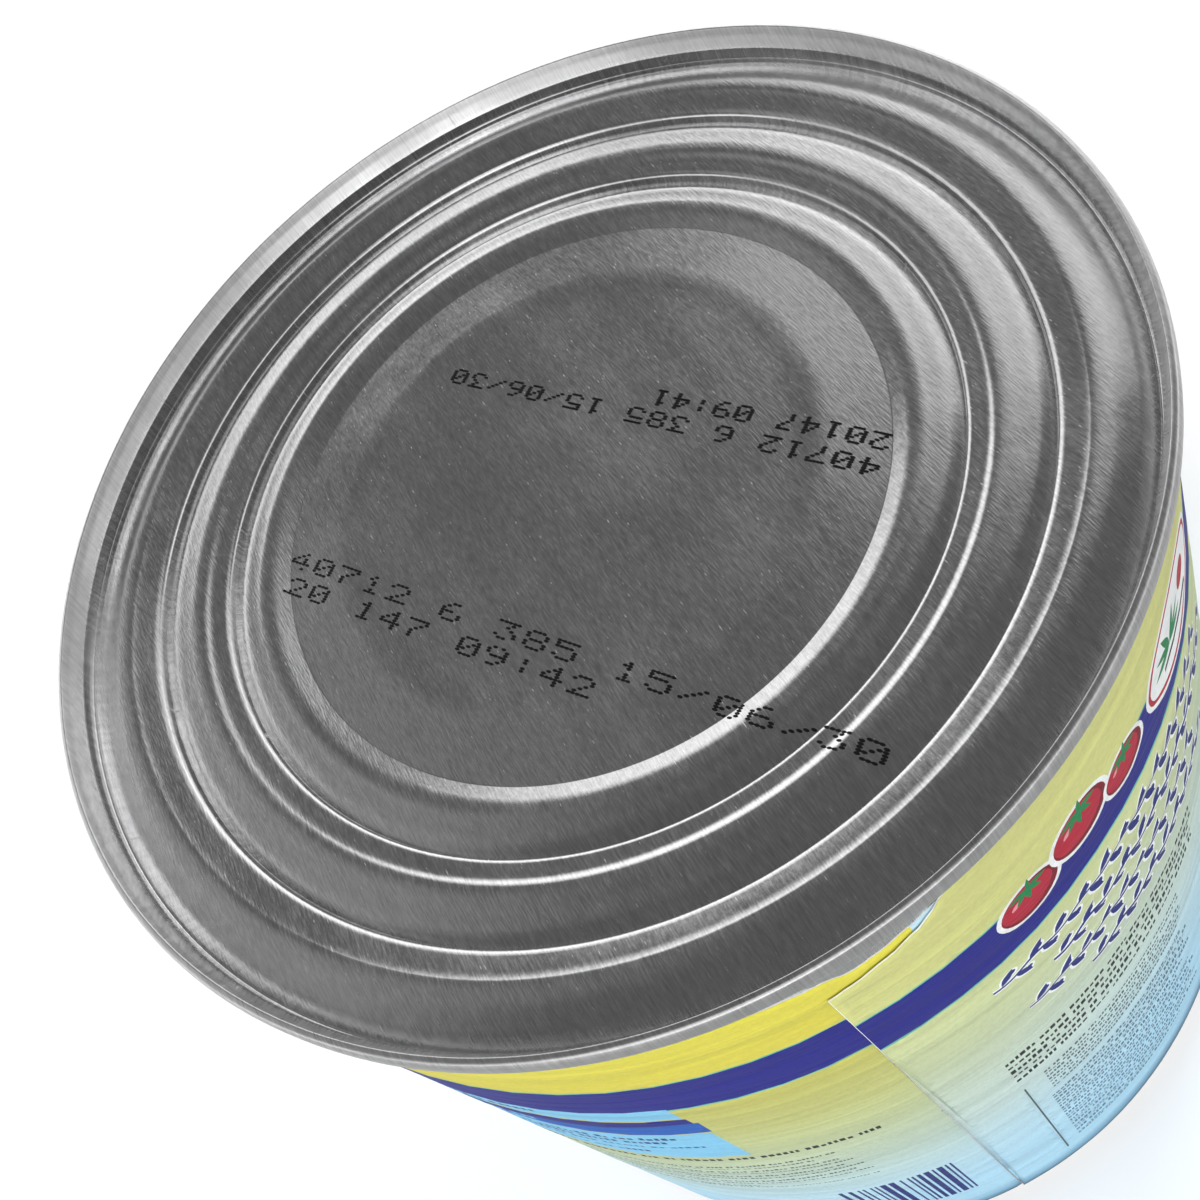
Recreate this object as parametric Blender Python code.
"""A large catering can of tomato pulp: tinplate body, two double-seamed ends and a wrapped paper label.

The can stands upright with its foot on z = 0 and its axis on the Z axis. All sizes are in metres.
"""

import math

import bmesh
import bpy

# Driving dimensions
CAN_HEIGHT = 0.1545
SEAM_RADIUS = 0.0786
SEAM_HEIGHT = 0.0034
SEAM_LIP = 0.0016
NECK_RADIUS = 0.0765
BODY_RADIUS = 0.0765
LABEL_INNER_RADIUS = 0.0768
LABEL_PAPER = 0.0004
LABEL_TOP_GAP = 0.0055
LABEL_BOTTOM_GAP = 0.0036
LABEL_TUCK = 0.0005
LABEL_TUCK_HEIGHT = 0.0090
PIECE_GAP = 0.0003

# The foot is narrower than the top, so that cans stack one in the other
FOOT_SEAM_RADIUS = 0.0758
FOOT_TAPER_HEIGHT = 0.0050

# The end: a chuck wall, a countersink groove and stepped beads that go down to the centre panel
CHUCK_FOOT_RADIUS = 0.0763
COUNTERSINK_DEPTH = 0.0054
COUNTERSINK_WIDTH = 0.0011
COUNTERSINK_SLOPE = 0.0008
PANEL_EDGE_RADIUS = 0.0743
PANEL_EDGE_DEPTH = 0.0044
CENTRE_RING_RADIUS = 0.0352
CENTRE_RING_DEPTH = 0.0070
CENTRE_RING_SLOPE = 0.0032
CENTRE_DEPTH = 0.00725
PLUG_DEPTH = 0.0092

# One row for each bead, going inwards: crest, foot of the small step, shelf edge and trough,
# each a radius and a depth below the top of the seam
BEADS = (
    ((0.0700, 0.0038), (0.0679, 0.0042), (0.0650, 0.0050), (0.0640, 0.0066)),
    ((0.0586, 0.0053), (0.0563, 0.0060), (0.0540, 0.0063), (0.0531, 0.0077)),
)
LAST_CREST = (0.0481, 0.0065)
LAST_TROUGH = (0.0443, 0.0077)

# The body has shallow hoop beads under the label
BODY_BEADS = 12
BODY_BEAD_PITCH = 0.0094
BODY_BEAD_DEPTH = 0.0006

# The label overlaps itself along one upright edge, where its top edge also dips
OVERLAP_ANGLE = math.radians(261.2)
OVERLAP_STEP = 0.00022
OVERLAP_RUN = math.radians(24.0)
FREE_EDGE_WIDTH = math.radians(0.12)
EDGE_DIP = 0.0042
EDGE_DIP_ANGLE = math.radians(265.5)
EDGE_DIP_WIDTH = math.radians(5.5)
EDGE_DIP_REACH = 2

END_SIDES = 60
BODY_SIDES = 48
LABEL_SIDES = 72
LABEL_DIP_SIDES = 180
SEAM_CORNER = 0.0006
SEAM_CORNER_STEPS = 2
PANEL_CORNER = 0.0005
FIRST_ROUNDED_CORNER = 3
CORNER_SHARE = 0.48
MERGE_DISTANCE = 0.00002
SHARP_ANGLE = math.radians(50.0)


def clear_scene():
    for item in list(bpy.data.objects):
        bpy.data.objects.remove(item, do_unlink=True)


def make_material(name, colour, roughness, metallic):
    material = bpy.data.materials.new(name)
    material.use_nodes = True
    shader = material.node_tree.nodes["Principled BSDF"]
    shader.inputs["Base Color"].default_value = (*colour, 1.0)
    shader.inputs["Roughness"].default_value = roughness
    shader.inputs["Metallic"].default_value = metallic
    material.diffuse_color = (*colour, 1.0)
    return material


def rounded(points, corners):
    """The outline through points, with each corner named in corners cut by an arc of its size.

    corners maps an index in points to a pair: the length cut from each side, and the arc's steps.
    """
    outline = []
    for index, (x, z) in enumerate(points):
        if index not in corners:
            outline.append((x, z))
            continue
        cut, steps = corners[index]
        before = points[index - 1]
        after = points[index + 1]
        start = step_towards((x, z), before, cut)
        end = step_towards((x, z), after, cut)
        for step in range(steps + 1):
            t = step / steps
            outline.append(tuple(
                (1 - t) ** 2 * a + 2 * t * (1 - t) * b + t ** 2 * c
                for a, b, c in zip(start, (x, z), end)
            ))
    return outline


def step_towards(point, target, length):
    dx = target[0] - point[0]
    dz = target[1] - point[1]
    share = min(length / math.hypot(dx, dz), CORNER_SHARE)
    return point[0] + dx * share, point[1] + dz * share


def turned(name, outline, sides, material):
    """A solid of revolution. The outline runs from the axis at the top, outside, to the axis below."""
    mesh = bpy.data.meshes.new(name)
    vertices = [(radius, 0.0, height) for radius, height in outline]
    edges = [(index, index + 1) for index in range(len(vertices) - 1)]
    mesh.from_pydata(vertices, edges, [])
    shape = bmesh.new()
    shape.from_mesh(mesh)
    bmesh.ops.spin(
        shape, geom=shape.verts[:] + shape.edges[:], cent=(0, 0, 0), axis=(0, 0, 1),
        angle=math.tau, steps=sides, use_merge=True, use_duplicate=False,
    )
    bmesh.ops.remove_doubles(shape, verts=shape.verts[:], dist=MERGE_DISTANCE)
    bmesh.ops.recalc_face_normals(shape, faces=shape.faces[:])
    shape.to_mesh(mesh)
    shape.free()
    return add_object(name, mesh, material)


def add_object(name, mesh, material):
    mesh.shade_smooth()
    mesh.set_sharp_from_angle(angle=SHARP_ANGLE)
    mesh.materials.append(material)
    item = bpy.data.objects.new(name, mesh)
    bpy.context.collection.objects.link(item)
    return item


def end_outline(seam_radius):
    """Half the section of an end, from the axis, with z = 0 at the top of its seam."""
    face = [
        (0.0, -CENTRE_DEPTH),
        (CENTRE_RING_RADIUS - CENTRE_RING_SLOPE, -CENTRE_DEPTH),
        (CENTRE_RING_RADIUS, -CENTRE_RING_DEPTH),
        (LAST_TROUGH[0], -LAST_TROUGH[1]),
        (LAST_CREST[0], -LAST_CREST[1]),
    ]
    for bead in reversed(BEADS):
        face += [(radius, -depth) for radius, depth in reversed(bead)]
    corners = {index: (PANEL_CORNER, 1) for index in range(FIRST_ROUNDED_CORNER, len(face))}
    groove_radius = PANEL_EDGE_RADIUS + COUNTERSINK_SLOPE
    face += [
        (PANEL_EDGE_RADIUS, -PANEL_EDGE_DEPTH),
        (groove_radius, -COUNTERSINK_DEPTH),
        (groove_radius + COUNTERSINK_WIDTH, -COUNTERSINK_DEPTH),
        (CHUCK_FOOT_RADIUS, -PANEL_EDGE_DEPTH),
    ]
    seam_start = len(face)
    seam = [
        (SEAM_RADIUS - SEAM_LIP, 0.0),
        (SEAM_RADIUS, 0.0),
        (SEAM_RADIUS, -SEAM_HEIGHT),
        (NECK_RADIUS, -SEAM_HEIGHT),
    ]
    for index in range(seam_start, len(face + seam) - 1):
        corners[index] = (SEAM_CORNER, SEAM_CORNER_STEPS)
    under = [(NECK_RADIUS, -PLUG_DEPTH), (0.0, -PLUG_DEPTH)]
    narrowing = seam_radius / SEAM_RADIUS
    return [(radius * narrowing, depth) for radius, depth in rounded(face + seam + under, corners)]


def make_end(name, seam_radius, top_height, facing, material):
    """An end whose seam starts at top_height. facing is 1 for the upper end and -1 for the lower."""
    outline = [(radius, top_height + facing * depth) for radius, depth in end_outline(seam_radius)]
    return turned(name, outline, END_SIDES, material)


def make_body(material):
    low = PLUG_DEPTH + PIECE_GAP
    high = CAN_HEIGHT - low
    foot_radius = NECK_RADIUS * FOOT_SEAM_RADIUS / SEAM_RADIUS
    middle = CAN_HEIGHT / 2
    first = middle + (BODY_BEADS - 1) / 2 * BODY_BEAD_PITCH
    last = middle - (BODY_BEADS - 1) / 2 * BODY_BEAD_PITCH
    shoulder = BODY_BEAD_PITCH / 4
    outline = [(0.0, high), (BODY_RADIUS, high)]
    for bead in range(BODY_BEADS):
        height = first - bead * BODY_BEAD_PITCH
        outline.append((BODY_RADIUS, height + shoulder))
        outline.append((BODY_RADIUS - BODY_BEAD_DEPTH, height))
    outline.append((BODY_RADIUS, last - shoulder))
    outline += [(BODY_RADIUS, low + FOOT_TAPER_HEIGHT), (foot_radius, low), (0.0, low)]
    return turned("can_body", outline, BODY_SIDES, material)


def label_section(angle):
    """Outer radius and top height of the label at one angle past its free edge."""
    lift = OVERLAP_STEP * max(0.0, 1.0 - angle / OVERLAP_RUN)
    away = (angle + OVERLAP_ANGLE - EDGE_DIP_ANGLE + math.pi) % math.tau - math.pi
    dip = EDGE_DIP * math.exp(-((away / EDGE_DIP_WIDTH) ** 2))
    radius = LABEL_INNER_RADIUS + LABEL_PAPER + lift
    return radius, CAN_HEIGHT - LABEL_TOP_GAP - dip


def make_label(material):
    """A closed band of paper. Its outer face steps up at the free edge and eases back from there."""
    shape = bmesh.new()
    past_dip = EDGE_DIP_ANGLE - OVERLAP_ANGLE + EDGE_DIP_REACH * EDGE_DIP_WIDTH
    dip_steps = math.ceil(past_dip * LABEL_DIP_SIDES / math.tau)
    even_start = math.ceil(past_dip * LABEL_SIDES / math.tau) + 1
    angles = [0.0, FREE_EDGE_WIDTH]
    angles += [math.tau * step / LABEL_DIP_SIDES for step in range(1, dip_steps + 1)]
    angles += [math.tau * step / LABEL_SIDES for step in range(even_start, LABEL_SIDES)]
    rings = []
    for angle in angles:
        radius, top = label_section(angle if angle else math.tau)
        bearing = angle + OVERLAP_ANGLE
        inner = LABEL_INNER_RADIUS
        tuck_top = LABEL_BOTTOM_GAP + LABEL_TUCK_HEIGHT
        section = [
            (inner, top), (radius, top), (radius, tuck_top), (radius - LABEL_TUCK, LABEL_BOTTOM_GAP),
            (inner - LABEL_TUCK, LABEL_BOTTOM_GAP), (inner, tuck_top),
        ]
        rings.append([
            shape.verts.new((r * math.cos(bearing), r * math.sin(bearing), z)) for r, z in section
        ])
    corners = len(rings[0])
    for ring, following in zip(rings, rings[1:] + rings[:1]):
        for corner in range(corners):
            other = (corner + 1) % corners
            shape.faces.new((ring[corner], ring[other], following[other], following[corner]))
    bmesh.ops.recalc_face_normals(shape, faces=shape.faces[:])
    mesh = bpy.data.meshes.new("label")
    shape.to_mesh(mesh)
    shape.free()
    return add_object("label", mesh, material)


def build():
    clear_scene()
    tinplate = make_material("tinplate", (0.52, 0.52, 0.53), 0.28, 1.0)
    body_tin = make_material("body tinplate", (0.46, 0.47, 0.48), 0.34, 1.0)
    paper = make_material("label paper", (0.80, 0.76, 0.30), 0.45, 0.0)
    can = bpy.data.objects.new("tomato_pulp_can", None)
    bpy.context.collection.objects.link(can)
    pieces = (
        make_body(body_tin),
        make_end("top_end", SEAM_RADIUS, CAN_HEIGHT, 1, tinplate),
        make_end("bottom_end", FOOT_SEAM_RADIUS, 0.0, -1, tinplate),
        make_label(paper),
    )
    for piece in pieces:
        piece.parent = can


build()
